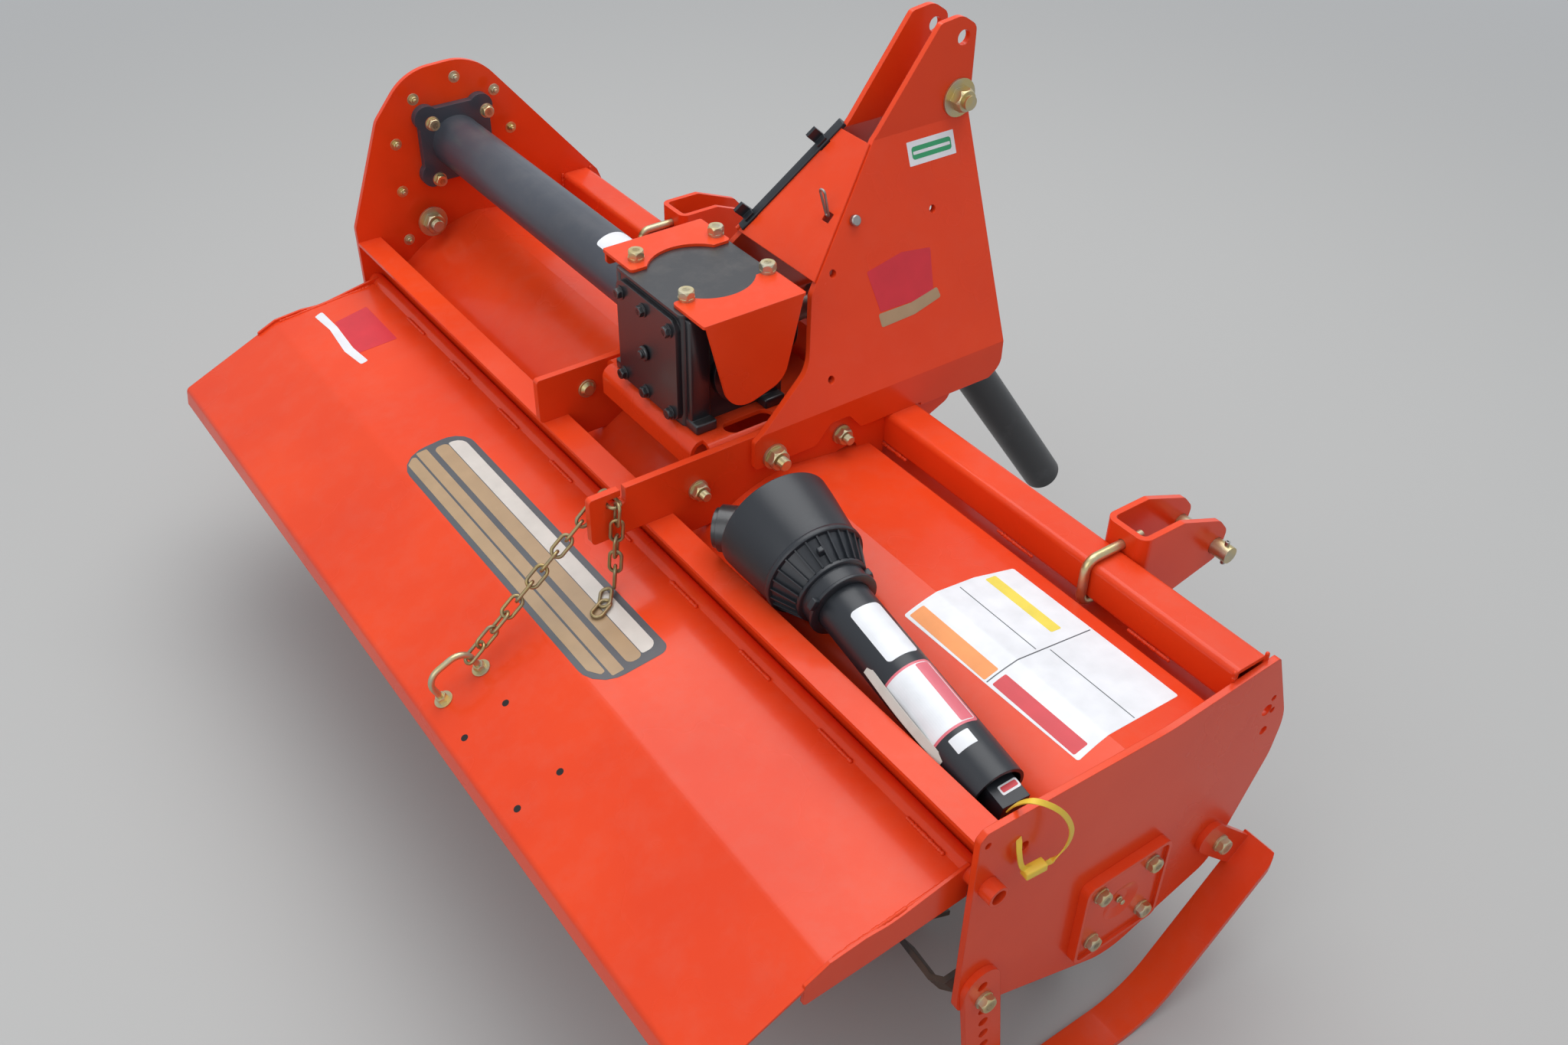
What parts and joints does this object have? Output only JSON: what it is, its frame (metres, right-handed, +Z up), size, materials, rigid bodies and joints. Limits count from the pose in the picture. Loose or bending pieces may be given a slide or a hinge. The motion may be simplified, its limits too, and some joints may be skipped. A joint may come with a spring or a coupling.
{
  "type": "tractor-mounted rotary tiller",
  "caption": "Rotary tiller for a three-point hitch: hooded tined rotor, gearbox with side drive, skids, folded driveline halves and a rear flap on a chain.",
  "frame": {"origin": "on the ground, at the middle of the machine's length and width", "axes": "+X forward to the tractor, +Y to the left side, +Z up"},
  "size_m": [1.1706, 1.566, 0.9591],
  "materials": {
    "orange_paint": "gloss",
    "black_paint": "satin",
    "black_plastic": "matt",
    "yellow_zinc": "satin",
    "bare_steel": "satin"
  },
  "bodies": {
    "frame": {"end_plate_left": "orange_paint", "end_plate_right": "orange_paint", "hood": "orange_paint", "front_beam": "orange_paint", "rear_bar": "orange_paint", "arm_left": "orange_paint", "arm_right": "orange_paint", "gearbox_pan": "orange_paint", "gearbox_guards": "orange_paint", "chain_case": "orange_paint", "frame_plate_left": "orange_paint", "frame_plate_right": "orange_paint", "frame_lugs": "orange_paint", "clevis_left": "orange_paint", "clevis_right": "orange_paint", "skid_left": "orange_paint", "skid_right": "orange_paint", "bearing_cover": "orange_paint", "gearbox": "black_paint", "gearbox_cover": "black_paint", "drive_tube": "black_paint", "hanging_tube": "black_plastic", "hanging_cone": "black_plastic", "stored_cone": "black_plastic", "stored_tube": "black_plastic", "door_hinges": "black_plastic", "hook_bolt": "yellow_zinc", "hook_spacer": "yellow_zinc", "hitch_pins": "yellow_zinc", "clevis_clamps": "yellow_zinc", "flap_chain": "yellow_zinc", "input_shaft": "bare_steel", "input_yoke": "bare_steel", "joint_cross": "bare_steel", "hanging_core": "bare_steel", "stored_core": "bare_steel", "stored_yoke": "bare_steel"},
    "rotor": {"rotor_shaft": "black_paint", "rotor_tines": "black_paint"},
    "flap": {"flap": "orange_paint", "flap_eye": "yellow_zinc"},
    "door": {"shield_door": "orange_paint"}
  },
  "joints": [
    {"name": "rotor_spin", "type": "hinge", "parent": "frame", "child": "rotor", "pos_m": [-0.0381, 0, 0.234], "axis": [0, 1, 0], "continuous": true},
    {"name": "flap_lift", "type": "hinge", "parent": "frame", "child": "flap", "pos_m": [-0.2541, 0, 0.41], "axis": [0, 1, 0], "range_deg": [0, 35], "deforming": ["flap_chain"]},
    {"name": "door_open", "type": "hinge", "parent": "frame", "child": "door", "pos_m": [0.12523, 0.03333, 0.82881], "axis": [-0.6406, 0.2812, -0.7145], "range_deg": [0, 90]}
  ]
}
